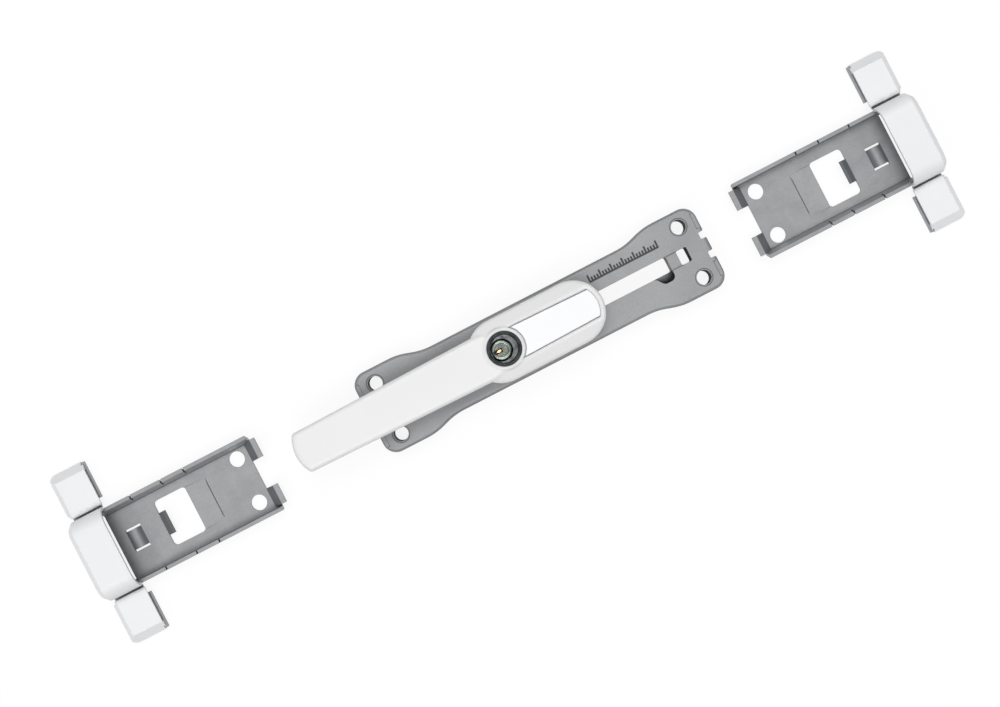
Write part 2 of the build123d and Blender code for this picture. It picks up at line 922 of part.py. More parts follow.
def strike_base():
    """Steel base: two feet, walls and lugs, joined over the rod by an arch."""
    outer = cover_half_width - cover_wall - seat_gap
    top = cover_height - cover_wall - seat_gap
    radius = shoulder_radius - cover_wall
    arch = section_along_x(arch_section(outer, top, radius, 0), arch_start, arch_end)
    inner = arch_section(
        outer - arch_thickness, top - arch_thickness, radius - arch_thickness, -1
    )
    arch -= section_along_x(inner, arch_start - 1, arch_end + 1)
    base = arch
    end = block_end - foot_inset
    for side in (1, -1):
        foot = bar(channel_end, end, side * foot_inner, side * foot_outer, 0, sheet)
        foot += bar(block_start, end, side * foot_wall_start, side * foot_outer, 0, sheet)
        foot += bar(
            block_start,
            block_start + foot_wall,
            side * foot_wall_start,
            side * foot_wall_end,
            0,
            foot_wall_height,
        )
        lug_y = channel_half_width - 0.5
        foot += bar(
            channel_end, channel_end + lug_depth, side * (lug_y - lug_width), side * lug_y, 0, lug_height
        )
        for ear_x in (inner_ear_x, outer_ear_x):
            ear = Pos(ear_x + ear_thickness / 2, side * hinge_y, hinge_z)
            foot += ear * Rot(0, 90, 0) * Cylinder(ear_radius, ear_thickness)
            foot += bar(
                ear_x,
                ear_x + ear_thickness,
                side * (hinge_y - ear_radius + moving_gap),
                side * (hinge_y + ear_radius - moving_gap),
                0,
                hinge_z,
            )
        foot += bar(
            inner_ear_x,
            channel_end + lug_depth,
            side * cover_half_width,
            side * (foot_wall_start + foot_wall),
            0,
            sheet,
        )
        foot -= disc(strike_screw_dia, -1, sheet + 1, strike_screw_x, side * strike_screw_y)
        base += foot
        axis = Pos((block_start + block_end) / 2, side * hinge_y, hinge_z) * Rot(0, 90, 0)
        base -= axis * Cylinder(hinge_pin_dia / 2, 2 * (block_end - block_start))
    return base


def bridge_cover():
    """Moulded cover over the arch: rounded shoulders, open below and towards the rod."""
    outline = arch_section(cover_half_width, cover_height, shoulder_radius, sheet + cover_lift)
    shell = section_along_x(outline, block_start, block_end)
    top_end = shell.faces().group_by(Axis.X)[-1].edges()
    top_end = top_end.filter_by(lambda e: e.center().Z > sheet + cover_lift + 0.1)
    shell = chamfer(top_end, cover_bevel)
    inner = arch_section(
        cover_half_width - cover_wall, cover_height - cover_wall, shoulder_radius - cover_wall, 0
    )
    shell -= section_along_x(inner, block_start - 1, block_end - cover_wall)
    side = cover_half_width + 1
    return shell - bar(block_start - 1, arch_start, -side, side, 0, channel_height + moving_gap)


def flap(side):
    """Screw cover with a rounded root, turned on its pin at the block's foot."""
    top = hinge_z + flap_crown
    turn = math.radians(flap_open_from)
    middle = (turn + math.pi / 2) / 2
    inner_crown = flap_crown - flap_wall

    def around(radius, angle):
        return (hinge_y + radius * math.cos(angle), hinge_z + radius * math.sin(angle))

    outline = make_face(
        [
            ThreePointArc(around(flap_crown, turn), around(flap_crown, middle), (hinge_y, top)),
            Polyline(
                (hinge_y, top),
                (flap_tip - flap_tip_bevel, top),
                (flap_tip, top - flap_side_bevel),
                (flap_tip, flap_lift),
                (hinge_y, flap_lift),
                (hinge_y, hinge_z + inner_crown),
            ),
            ThreePointArc(
                (hinge_y, hinge_z + inner_crown),
                around(inner_crown, middle),
                around(inner_crown, turn),
            ),
            Line(around(inner_crown, turn), around(flap_crown, turn)),
        ]
    )
    body = section_along_x(outline, block_start + 0.4, block_end)
    bevel = make_face(
        Polyline(
            (block_end - flap_side_bevel, top),
            (block_end - flap_side_bevel, top + 1),
            (block_end + 1, top + 1),
            (block_end + 1, top - flap_side_bevel),
            (block_end, top - flap_side_bevel),
            close=True,
        )
    )
    body -= section_along_y(bevel, 0, flap_tip + 1)
    root = hinge_y - flap_crown
    corner = [(block_end - flap_corner_cut, root), (block_end, root), (block_end, root + flap_corner_cut)]
    body -= Pos(0.01, 0, 0) * prism(corner, -1, top + 1)
    inside_top = top - flap_wall
    body -= bar(
        block_start - 1,
        block_end - flap_wall,
        hinge_y - 4,
        flap_tip - flap_wall - 1.0,
        -1,
        inside_top - flap_side_bevel,
    )
    body -= bar(
        block_start - 1,
        block_end - flap_wall - flap_side_bevel,
        hinge_y,
        flap_tip - flap_wall - flap_tip_bevel,
        -1,
        inside_top,
    )
    body -= bar(block_start - 1, block_end + 1, hinge_y - 4, hinge_y + 3.0, -1, hinge_z - 1.9)
    body -= bar(
        block_start - 1,
        block_start + foot_wall + moving_gap,
        hinge_y - 4,
        flap_tip + 1,
        -1,
        foot_wall_height + moving_gap,
    )
    knuckle_start = inner_ear_x + ear_thickness + moving_gap
    knuckle_end = outer_ear_x - moving_gap
    length = knuckle_end - knuckle_start
    axis = Pos((knuckle_start + knuckle_end) / 2, hinge_y, hinge_z) * Rot(0, 90, 0)
    body += axis * Cylinder(flap_crown - flap_wall + 0.1, length)
    body -= axis * Cylinder(hinge_pin_dia / 2 + shaft_clearance, length * 3)
    return body if side > 0 else mirror(body, Plane.XZ)


def hinge_pins():
    pins = Part()
    for side in (1, -1):
        start = inner_ear_x - hinge_pin_proud
        end = outer_ear_x + ear_thickness + hinge_pin_proud
        axis = Pos((start + end) / 2, side * hinge_y, hinge_z) * Rot(0, 90, 0)
        pins += axis * Cylinder(hinge_pin_dia / 2, end - start)
    return pins


# Every node, written one to a file

rack_right = rack()
lock_nodes = {
    "lock_body": lock_body(),
    "back_plate": back_plate(),
    "back_plate_screws": back_plate_screws(),
    "bearing_bush": bearing_bush(),
    "rack_right": rack_right,
    "rack_left": half_turn(rack_right),
    "pinion": pinion(),
    "spindle": spindle(),
    "handle": handle(),
    "handle_screw": handle_screw(),
    "cover_strip": cover_strip(),
    "cylinder_sleeve": cylinder_sleeve(),
    "cylinder_body": cylinder_body(),
    "locking_pin": locking_pin(),
    "return_spring": return_spring(),
    "key_plug": key_plug(),
    "tumbler_pin": tumbler_pin(),
}
strike_nodes = {
    "end_plate": end_plate(),
    "strike_base": strike_base(),
    "bridge_cover": bridge_cover(),
    "hinge_pins": hinge_pins(),
}
flaps = {1: flap(1), -1: flap(-1)}
right_end = Pos(strike_x, 0, 0)

nodes = {name: Pos(pivot_x, 0, 0) * shape for name, shape in lock_nodes.items()}
for name, shape in strike_nodes.items():
    nodes["right_" + name] = right_end * shape
    nodes["left_" + name] = half_turn(right_end * shape)
for place, side in (("upper", 1), ("lower", -1)):
    nodes["right_flap_" + place] = right_end * flaps[side]
    nodes["left_flap_" + place] = half_turn(right_end * flaps[-side])

os.makedirs("parts", exist_ok=True)
for name, shape in nodes.items():
    export_step(shape, f"parts/{name}.step")
    print(name, round(shape.volume, 1))
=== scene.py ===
import json
import math

import bmesh
import bpy
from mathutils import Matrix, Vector

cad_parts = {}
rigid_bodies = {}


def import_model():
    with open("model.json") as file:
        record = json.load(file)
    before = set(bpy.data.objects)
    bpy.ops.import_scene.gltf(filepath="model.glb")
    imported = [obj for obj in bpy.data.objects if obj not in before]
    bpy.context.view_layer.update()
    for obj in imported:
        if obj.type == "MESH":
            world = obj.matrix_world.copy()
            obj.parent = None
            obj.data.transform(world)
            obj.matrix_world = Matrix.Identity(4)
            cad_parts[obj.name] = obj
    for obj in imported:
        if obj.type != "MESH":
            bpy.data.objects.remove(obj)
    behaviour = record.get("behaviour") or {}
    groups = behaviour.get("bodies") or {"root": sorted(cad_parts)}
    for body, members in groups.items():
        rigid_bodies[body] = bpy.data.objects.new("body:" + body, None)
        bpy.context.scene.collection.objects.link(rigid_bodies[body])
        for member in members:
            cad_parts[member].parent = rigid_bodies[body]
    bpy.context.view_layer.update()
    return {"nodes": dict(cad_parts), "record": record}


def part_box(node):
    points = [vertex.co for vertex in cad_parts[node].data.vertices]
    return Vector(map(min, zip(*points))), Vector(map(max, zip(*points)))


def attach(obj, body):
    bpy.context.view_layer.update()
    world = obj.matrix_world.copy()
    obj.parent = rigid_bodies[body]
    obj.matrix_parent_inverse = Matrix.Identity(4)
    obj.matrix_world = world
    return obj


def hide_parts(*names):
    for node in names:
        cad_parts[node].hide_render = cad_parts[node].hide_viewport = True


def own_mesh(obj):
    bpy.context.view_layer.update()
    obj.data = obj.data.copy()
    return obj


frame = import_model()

nodes = frame["nodes"]


def mm(value):
    return value / 1000


def srgb(code):  # a hex colour as the eye sees it, turned to linear
    channels = [int(code[i : i + 2], 16) / 255 for i in (1, 3, 5)]
    linear = [c / 12.92 if c <= 0.04045 else ((c + 0.055) / 1.055) ** 2.4 for c in channels]
    return (*linear, 1.0)


def addNode(tree, kind, settings=None, links=None):
    node = tree.nodes.new(kind)
    for name, value in (settings or {}).items():
        if isinstance(name, str) and hasattr(node, name):
            setattr(node, name, value)
        else:
            node.inputs[name].default_value = value
    for name, source in (links or {}).items():
        tree.links.new(source, node.inputs[name])
    return node


def newMaterial(name):  # a tree with its shader, its output and the object's own coordinates
    material = bpy.data.materials.new(name)
    material.use_nodes = True
    tree = material.node_tree
    tree.nodes.clear()
    shader = addNode(tree, "ShaderNodeBsdfPrincipled")
    addNode(tree, "ShaderNodeOutputMaterial", links={"Surface": shader.outputs[0]})
    place = addNode(tree, "ShaderNodeTexCoord").outputs["Object"]
    return material, tree, shader, place


def patternScale(size):  # noise cells of this many millimetres
    return 1000 / size


maskSamples = 6


def slopeMask(tree, flat, steep):  # 0 on faces that lie flat, 1 on steep ones, in the piece's frame
    way = addNode(tree, "ShaderNodeTexCoord")
    parts = addNode(tree, "ShaderNodeSeparateXYZ", links={0: way.outputs["Normal"]})
    size = addNode(tree, "ShaderNodeMath", {"operation": "ABSOLUTE"}, {0: parts.outputs["Z"]})
    return addNode(
        tree,
        "ShaderNodeMapRange",
        {"From Min": flat, "From Max": steep},
        {"Value": size.outputs[0]},
    ).outputs[0]


def recessShadeMask(tree, look):  # painted shade: 1 deep in the piece's own holes and corners, 0 on its open faces
    hidden = addNode(
        tree,
        "ShaderNodeAmbientOcclusion",
        {"samples": maskSamples, "only_local": True, "Distance": mm(look["recessShadeReach"])},
    )
    openFrom, fullFrom = look["recessShadeRange"]
    return addNode(
        tree,
        "ShaderNodeMapRange",
        {"From Min": openFrom, "From Max": fullFrom},
        {"Value": hidden.outputs["AO"]},
    ).outputs[0]


def drifting(tree, place, look):  # two tones of one colour that drift into each other
    noise = addNode(
        tree,
        "ShaderNodeTexNoise",
        {
            "Scale": patternScale(look["toneSize"]),
            "Detail": look["toneDetail"],
            "Roughness": look["toneRoughness"],
        },
        {"Vector": place},
    )
    low, high = look["toneRange"]
    drift = addNode(
        tree,
        "ShaderNodeMapRange",
        {"From Min": low, "From Max": high},
        {"Value": noise.outputs["Fac"]},
    )
    mix = addNode(
        tree,
        "ShaderNodeMix",
        {"data_type": "RGBA", 6: srgb(look["shade"]), 7: srgb(look["colour"])},
        {0: drift.outputs[0]},
    )
    return mix.outputs[2], noise.outputs["Fac"]


def speckled(tree, colour, grain, tones):  # the colour made darker and lighter by a fine noise
    low, high = grainRange
    speck = addNode(
        tree,
        "ShaderNodeMapRange",
        {"From Min": low, "From Max": high, "To Min": tones[0], "To Max": tones[1]},
        {"Value": grain},
    )
    toned = addNode(
        tree,
        "ShaderNodeVectorMath",
        {"operation": "SCALE"},
        {0: colour, "Scale": speck.outputs[0]},
    )
    return toned.outputs[0]


def layered(tree, colour, layers):  # each layer is a mask and the colour that covers it
    for mask, code in layers:
        mix = addNode(
            tree, "ShaderNodeMix", {"data_type": "RGBA", 7: srgb(code)}, {0: mask, 6: colour}
        )
        colour = mix.outputs[2]
    return colour


def surface(tree, shader, look, height, wear):  # softened edges, fine relief and uneven gloss
    soft = addNode(
        tree, "ShaderNodeBevel", {"Radius": mm(look["edgeRadius"]), "samples": maskSamples}
    )
    bump = addNode(
        tree,
        "ShaderNodeBump",
        {"Strength": look["relief"], "Distance": mm(look["reliefDepth"])},
        {"Height": height, "Normal": soft.outputs[0]},
    )
    gloss = addNode(
        tree,
        "ShaderNodeMapRange",
        {
            "To Min": look["roughness"] - look["glossier"],
            "To Max": look["roughness"] + look["duller"],
        },
        {"Value": wear},
    )
    tree.links.new(bump.outputs[0], shader.inputs["Normal"])
    tree.links.new(gloss.outputs[0], shader.inputs["Roughness"])
    return soft.outputs[0], gloss.outputs[0]


# Finishes: sizes are in millimetres
grainRange = (0.3, 0.7)  # where a fine noise starts and stops to count
plainTone = {"toneDetail": 2.0, "toneRoughness": 0.5, "toneRange": (0.0, 1.0)}
clearTone = {"toneDetail": 2.0, "toneRoughness": 0.5, "toneRange": (0.35, 0.65)}

# Zinc die casting under a satin silver powder coat: an even grey, faint flow marks, a fine tooth
castingLook = {
    **clearTone,
    "colour": "#999A9C",
    "shade": "#8F9092",
    "toneSize": 24,  # the flow marks
    "toneDetail": 3.0,
    "toothSize": 0.7,  # the real tooth is about 0.1 mm, drawn coarser so that it shows
    "toothDetail": 2.0,
    "toothTones": (0.93, 1.05),
    "edge": "#C8C9CB",  # painted highlight along the rounded edges
    "edgeLean": (0.995, 0.85),  # how far the softened edge leans away from the face
    "edgeHighlightShare": 0.7,
    "wall": "#85868A",  # painted shade: upright walls drawn darker than the faces
    "wallSlope": (0.86, 0.3),
    "recessShade": "#232426",  # painted shade in the holes, the slot and the corners
    "recessShadeReach": 7.0,
    "recessShadeRange": (0.84, 0.52),
    "metallic": 0.35,
    "roughness": 0.47,
    "glossier": 0.05,
    "duller": 0.07,
    "relief": 0.35,
    "reliefDepth": 0.012,
    "edgeRadius": 0.35,
}

# Cold-rolled sheet, zinc plated and passivated: matt, clouded by the bath, drawn along its length
sheetLook = {
    "colour": "#9C9D9F",
    "shade": "#909193",
    "toneSize": 9,  # the clouds
    "toneDetail": 5.0,
    "toneRoughness": 0.62,
    "toneRange": (0.36, 0.64),
    "line": "#AAABAD",
    "lineSize": 0.35,
    "lineDetail": 2.0,
    "lineStretch": 0.05,
    "lineRange": (0.56, 0.74),
    "lineShare": 0.3,
    "grainSize": 0.5,  # the real grain is finer, drawn coarser so that it shows
    "grainDetail": 2.0,
    "grainTones": (0.94, 1.05),
    "slopeShade": "#76787C",  # painted shade on bends and formed slopes
    "bendSlope": (0.985, 0.84),
    "wall": "#B2B3B6",  # painted light: sheared edges and upright flanges drawn lighter than the web
    "wallSlope": (0.6, 0.2),
    # painted shade in the sheet's own holes and corners
    "recessShade": "#3A3B3E",
    "recessShadeReach": 5.0,
    "recessShadeRange": (0.62, 0.3),
    "metallic": 0.35,
    "roughness": 0.52,
    "glossier": 0.08,
    "duller": 0.1,
    "relief": 0.25,
    "reliefDepth": 0.01,
    "edgeRadius": 0.3,
}

# White powder coat on the handle: half gloss, with a shallow orange peel
coatLook = {
    **plainTone,
    "name": "whitePowderCoat",
    "colour": "#EBEBEC",
    "shade": "#E7E7E7",
    "toneSize": 30,
    "reliefSize": 1.8,
    "reliefDetail": 1.0,
    "relief": 0.3,
    "reliefDepth": 0.006,
    "roughness": 0.32,
    "glossier": 0.03,
    "duller": 0.05,
    "edgeRadius": 2.2,  # the coat runs thick over the edges and softens them
}

# White moulded ABS: a spark-eroded mould leaves a faint grain
coverLook = {
    **plainTone,
    "name": "whiteAbsCover",
    "colour": "#EDEEF0",
    "shade": "#E8E9EA",
    "toneSize": 14,
    "reliefSize": 0.6,
    "reliefDetail": 1.0,
    "relief": 0.25,
    "reliefDepth": 0.004,
    "roughness": 0.38,
    "glossier": 0.04,
    "duller": 0.05,
    "edgeRadius": 0.3,
}

# The strip in the handle is glossier than the covers and drawn brighter: painted light
paintedLightStripLook = {
    **coverLook,
    "name": "whiteAbsStrip",
    "colour": "#F9F9FB",
    "shade": "#F5F6F8",
    "roughness": 0.3,
}

# Plated and plain metals of the cylinder, gears and fixings, with turned or drawn marks
metalLook = {
    **clearTone,
    "toneSize": 3.0,
    "markDetail": 3.0,
    "relief": 0.3,
    "reliefDepth": 0.008,
    "glossier": 0.06,
    "duller": 0.08,
    "edgeRadius": 0.12,
    "recessShade": "#0B0B0C",  # painted shade in the gaps and the keyway
    "recessShadeReach": 2.6,
    "recessShadeRange": (0.85, 0.5),
}
metals = {  # name, colour, shade, roughness and size of its marks
    "dark_nickel": ("darkNickelPlate", "#76797A", "#484B4C", 0.3, 0.5),
    # the sleeve is drawn darker: its own dark nickel plus painted shade of the recess round the
    # cylinder
    "sleeve": ("blackenedNickel", "#434647", "#303233", 0.28, 0.4),
    "plug_nickel": ("satinNickelOnBrass", "#8C958C", "#6B736C", 0.25, 0.4),
    "brass": ("turnedBrass", "#EFCDAE", "#C9946A", 0.2, 0.25),
    "bronze_bush": ("sinteredBronze", "#9F8056", "#7C6140", 0.5, 0.3),
    "bright_steel": ("turnedSteel", "#B5B5B7", "#98989A", 0.26, 0.3),
    "gear_steel": ("hardenedSteel", "#8B8D91", "#6F7175", 0.36, 0.4),
    "spring_steel": ("drawnSpringWire", "#8E8E90", "#707073", 0.3, 0.2),
}

# Dark filling of the marks on the casting: a dull lacquer, a little worn
inkLook = {
    **plainTone,
    "colour": "#404146",
    "shade": "#2A2B2F",
    "toneSize": 0.8,
    "roughness": 0.55,
}


def silverCasting():
    look = castingLook
    material, tree, shader, place = newMaterial("silverCoatedCasting")
    base, flow = drifting(tree, place, look)
    tooth = addNode(
        tree,
        "ShaderNodeTexNoise",
        {"Scale": patternScale(look["toothSize"]), "Detail": look["toothDetail"]},
        {"Vector": place},
    ).outputs["Fac"]
    toned = speckled(tree, base, tooth, look["toothTones"])
    soft, gloss = surface(tree, shader, look, tooth, flow)
    # painted highlight: lighter where the softened normal leans away from the face, that is along
    # the rounded edges
    sharp = addNode(tree, "ShaderNodeNewGeometry").outputs["Normal"]
    facing = addNode(
        tree, "ShaderNodeVectorMath", {"operation": "DOT_PRODUCT"}, {0: soft, 1: sharp}
    )
    near, far = look["edgeLean"]
    edgeHighlight = addNode(
        tree,
        "ShaderNodeMapRange",
        {"From Min": near, "From Max": far, "To Max": look["edgeHighlightShare"]},
        {"Value": facing.outputs["Value"]},
    ).outputs[0]
    # painted shade on the steep walls
    walls = slopeMask(tree, *look["wallSlope"])
    # painted shade in the piece's own holes, slot and corners
    recessShade = recessShadeMask(tree, look)
    layers = ((edgeHighlight, look["edge"]), (walls, look["wall"]), (recessShade, look["recessShade"]))
    colour = layered(tree, toned, layers)
    # where the shade is painted, the surface also turns rougher and less metallic
    dull = addNode(tree, "ShaderNodeMath", {"operation": "MAXIMUM"}, {0: gloss, 1: recessShade})
    bare = addNode(
        tree, "ShaderNodeMapRange", {"To Min": look["metallic"], "To Max": 0.0}, {"Value": recessShade}
    )
    tree.links.new(colour, shader.inputs["Base Color"])
    tree.links.new(bare.outputs[0], shader.inputs["Metallic"])
    tree.links.new(dull.outputs[0], shader.inputs["Roughness"])
    return material


def zincSheet():
    look = sheetLook
    material, tree, shader, place = newMaterial("zincPlatedSheet")
    base, cloud = drifting(tree, place, look)
    stretched = addNode(
        tree, "ShaderNodeMapping", {"Scale": (look["lineStretch"], 1.0, 1.0)}, {"Vector": place}
    )
    lines = addNode(
        tree,
        "ShaderNodeTexNoise",
        {"Scale": patternScale(look["lineSize"]), "Detail": look["lineDetail"]},
        {"Vector": stretched.outputs[0]},
    ).outputs["Fac"]
    grain = addNode(
        tree,
        "ShaderNodeTexNoise",
        {"Scale": patternScale(look["grainSize"]), "Detail": look["grainDetail"]},
        {"Vector": place},
    ).outputs["Fac"]
    low, high = look["lineRange"]
    drawn = addNode(
        tree,
        "ShaderNodeMapRange",
        {"From Min": low, "From Max": high, "To Max": look["lineShare"]},
        {"Value": lines},
    ).outputs[0]
    lined = layered(tree, base, ((drawn, look["line"]),))
    toned = speckled(tree, lined, grain, look["grainTones"])
    # painted shade on the bends and formed slopes
    bends = slopeMask(tree, *look["bendSlope"])
    # painted light on the upright flanges and sheared edges
    walls = slopeMask(tree, *look["wallSlope"])
    # painted shade in the sheet's own holes and corners
    recessShade = recessShadeMask(tree, look)
    layers = ((bends, look["slopeShade"]), (walls, look["wall"]), (recessShade, look["recessShade"]))
    colour = layered(tree, toned, layers)
    surface(tree, shader, look, lines, cloud)
    tree.links.new(colour, shader.inputs["Base Color"])
    shader.inputs["Metallic"].default_value = look["metallic"]
    return material


def whiteFinish(look):
    material, tree, shader, place = newMaterial(look["name"])
    base, tone = drifting(tree, place, look)
    grain = addNode(
        tree,
        "ShaderNodeTexNoise",
        {"Scale": patternScale(look["reliefSize"]), "Detail": look["reliefDetail"]},
        {"Vector": place},
    ).outputs["Fac"]
    surface(tree, shader, look, grain, grain)
    tree.links.new(base, shader.inputs["Base Color"])
    return material


def workedMetal(name, colour, shade, roughness, markSize):
    look = {**metalLook, "colour": colour, "shade": shade, "roughness": roughness}
    material, tree, shader, place = newMaterial(name)
    base, film = drifting(tree, place, look)
    marks = addNode(
        tree,
        "ShaderNodeTexNoise",
        {"Scale": patternScale(markSize), "Detail": look["markDetail"]},
        {"Vector": place},
    ).outputs["Fac"]
    # painted shade in the gaps and the keyway
    colour = layered(tree, base, ((recessShadeMask(tree, look), look["recessShade"]),))
    surface(tree, shader, look, marks, marks)
    tree.links.new(colour, shader.inputs["Base Color"])
    shader.inputs["Metallic"].default_value = 1.0
    return material


def darkInk():
    material, tree, shader, place = newMaterial("darkFilledMark")
    base, wear = drifting(tree, place, inkLook)
    tree.links.new(base, shader.inputs["Base Color"])
    shader.inputs["Roughness"].default_value = inkLook["roughness"]
    return material


finishes = {
    "silver_casting": silverCasting(),
    "zinc_sheet": zincSheet(),
    "white_lacquer": whiteFinish(coatLook),
    "white_plastic": whiteFinish(coverLook),
    "strip": whiteFinish(paintedLightStripLook),
    "ink": darkInk(),
}
for slot, values in metals.items():
    finishes[slot] = workedMetal(*values)

ownFinish = {"cover_strip": "strip", "cylinder_sleeve": "sleeve"}
for part in frame["record"]["subparts"]:
    finish = ownFinish.get(part["node"], part["material_slot"])
    nodes[part["node"]].data.materials.clear()
    nodes[part["node"]].data.materials.append(finishes[finish])
print("finishes set")


def pick(*pieces):  # selects these alone and makes the first one active
    bpy.ops.object.select_all(action="DESELECT")
    for piece in pieces:
        piece.select_set(True)
    bpy.context.view_layer.objects.active = pieces[0]


def addShape(kind, name, scale=(1, 1, 1), **settings):  # its place and size end up in its mesh
    bpy.ops.object.select_all(action="DESELECT")
    getattr(bpy.ops.mesh, "primitive_" + kind + "_add")(**settings)
    piece = bpy.context.active_object
    piece.name, piece.scale = name, scale
    bpy.ops.object.transform_apply(location=True, rotation=True, scale=True)
    return piece


def shapeBy(piece, kind, **settings):  # a modifier, applied at once
    step = piece.modifiers.new(kind.lower(), kind)
    for name, value in settings.items():
        setattr(step, name, value)
    pick(piece)
    bpy.ops.object.modifier_apply(modifier=step.name)


mending = {
    "joinWithin": 0.002,  # corners this near are one, in millimetres
    "flatWithin": 0.5,  # faces that lean this little are one, in degrees
}


def copyOf(node, name, flats=True):  # a closed copy of a solid, its loose triangles joined
    piece = bpy.data.objects.new(name, nodes[node].data.copy())
    bpy.context.scene.collection.objects.link(piece)
    pick(piece)
    bpy.ops.object.mode_set(mode="EDIT")
    bpy.ops.mesh.select_all(action="SELECT")
    bpy.ops.mesh.remove_doubles(threshold=mm(mending["joinWithin"]))
    if flats:
        bpy.ops.mesh.dissolve_limited(angle_limit=math.radians(mending["flatWithin"]))
    bpy.ops.object.mode_set(mode="OBJECT")
    return piece


rounding = {
    "segments": 3,
    "smoothAngle": 35,
    "flatWeight": 100,
}


def roundEdges(piece, radius, angle):
    shapeBy(
        piece,
        "BEVEL",
        width=mm(radius),
        segments=rounding["segments"],
        limit_method="ANGLE",
        angle_limit=math.radians(angle),
    )
    bpy.ops.object.shade_smooth_by_angle(angle=math.radians(rounding["smoothAngle"]))
    weight = rounding["flatWeight"]  # flat faces stay flat up to their rounded edges
    shapeBy(piece, "WEIGHTED_NORMAL", weight=weight, keep_sharp=True)


def bodyOf(node):
    return nodes[node].parent.name.removeprefix("body:")


def dress(piece, finish):
    piece.data.materials.clear()
    piece.data.materials.append(finishes[finish])


# Ramp beside each plate's opening: its sides run out softly into the web
rampLook = {
    "start": 30.2,  # from the tips of the hooks, in millimetres
    "end": 40.6,
    "halfWidth": 11.1,
    "web": 1.8,
    "least": 0.05,  # what lies less than this above the web stays where it is
    "narrower": 0.76,  # its crest is drawn in to this share of its width
}


def softenRamp(piece, node):
    low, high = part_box(node)
    tips, way = (low.x, 1) if low.x > 0 else (high.x, -1)
    start, end, side = mm(rampLook["start"]), mm(rampLook["end"]), mm(rampLook["halfWidth"])
    web = mm(rampLook["web"])
    bpy.ops.object.mode_set(mode="EDIT")
    bpy.ops.mesh.select_mode(type="VERT")
    bpy.ops.mesh.select_all(action="DESELECT")
    shape = bmesh.from_edit_mesh(piece.data)
    for vertex in shape.verts:
        onRamp = start < (vertex.co.x - tips) * way < end and abs(vertex.co.y) < side
        vertex.select_set(onRamp and vertex.co.z > web + mm(rampLook["least"]))
    bmesh.update_edit_mesh(piece.data)
    bpy.ops.transform.resize(value=(1, rampLook["narrower"], 1), center_override=(tips, 0, web))
    bpy.ops.object.mode_set(mode="OBJECT")


# Pieces with broken edges: the solid's own form, rounded as moulding and tumbling leave it
softEdges = {  # radius in millimetres, and the angle in degrees from which an edge is rounded
    "cylinder_sleeve": (0.4, 50),
    "cylinder_body": (0.18, 50),
    "key_plug": (0.3, 50),
    "cover_strip": (0.2, 50),
    "right_bridge_cover": (0.35, 25),
    "left_bridge_cover": (0.35, 25),
    "right_end_plate": (0.25, 40),
    "left_end_plate": (0.25, 40),
}
for node, (radius, angle) in softEdges.items():
    piece = copyOf(node, "soft_" + node)
    if node.endswith("end_plate"):
        softenRamp(piece, node)
    roundEdges(piece, radius, angle)
    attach(piece, bodyOf(node))
    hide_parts(node)
print("edges rounded")

# Tumbler's tip in the keyway: turned brass with a round nose
tipLook = {
    "width": 1.84,
    "longer": 1.3,  # along the keyway, towards its open end
    "higher": 0.5,
    "below": 1.7,  # how far it reaches down from its nose
    "sides": 32,
    "noseRadius": 0.7,
    "noseSegments": 4,
    "noseAngle": 60,
    "smoothAngle": 40,
}


def buildTip():
    look = tipLook
    low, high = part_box("tumbler_pin")
    depth = mm(look["below"])
    middle = (
        (low.x + high.x - mm(look["longer"])) / 2,
        (low.y + high.y) / 2,
        high.z + mm(look["higher"]) - depth / 2,
    )
    tip = addShape(
        "cylinder",
        "tumblerTip",
        scale=(1 + look["longer"] / look["width"], 1, 1),
        vertices=look["sides"],
        radius=mm(look["width"]) / 2,
        depth=depth,
        location=middle,
    )
    shapeBy(
        tip,
        "BEVEL",
        width=mm(look["noseRadius"]),
        segments=look["noseSegments"],
        limit_method="ANGLE",
        angle_limit=math.radians(look["noseAngle"]),
    )
    bpy.ops.object.shade_smooth_by_angle(angle=math.radians(look["smoothAngle"]))
    dress(tip, "brass")
    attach(tip, bodyOf("tumbler_pin"))
    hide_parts("tumbler_pin")


buildTip()

# Raised rim on the plug's face, broken where the keyway opens
rimLook = {
    "plugRadius": 4.7,
    "ringRadius": 3.75,
    "width": 1.5,
    "height": 0.32,
    "ringSides": 72,
    "sectionSides": 16,
    "keyway": 1.9,
    "cutLength": 8,
    "cutHeight": 2,
    "smoothAngle": 50,
}


def buildPlugRim():
    look = rimLook
    low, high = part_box("key_plug")
    middle = (high.x - mm(look["plugRadius"]), (low.y + high.y) / 2, high.z)
    rim = addShape(
        "torus",
        "plugRim",
        scale=(1, 1, 2 * look["height"] / look["width"]),
        major_segments=look["ringSides"],
        minor_segments=look["sectionSides"],
        major_radius=mm(look["ringRadius"]),
        minor_radius=mm(look["width"]) / 2,
        location=middle,
    )
    gap = addShape(
        "cube",
        "gap",
        scale=(mm(look["cutLength"]), mm(look["keyway"]), mm(look["cutHeight"])),
        size=1,
        location=(middle[0] - mm(look["cutLength"]) / 2, middle[1], middle[2]),
    )
    shapeBy(rim, "BOOLEAN", operation="DIFFERENCE", solver="EXACT", object=gap)
    bpy.data.objects.remove(gap, do_unlink=True)
    bpy.ops.object.shade_smooth_by_angle(angle=math.radians(look["smoothAngle"]))
    dress(rim, "plug_nickel")
    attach(rim, bodyOf("key_plug"))


buildPlugRim()

# Return spring, which in the lock closes up under the cylinder when it is pressed in: here the coil
# is copied whole and shaded smooth
springLook = {
    "keep": 0.53,  # its height when pressed, as a share of its height at rest
    "smoothAngle": 60,
}


def buildSpring():
    spring = copyOf("return_spring", "coilSpring", flats=False)
    bpy.ops.object.shade_smooth_by_angle(angle=math.radians(springLook["smoothAngle"]))
    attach(spring, bodyOf("return_spring"))
    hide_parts("return_spring")
    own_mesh(spring)


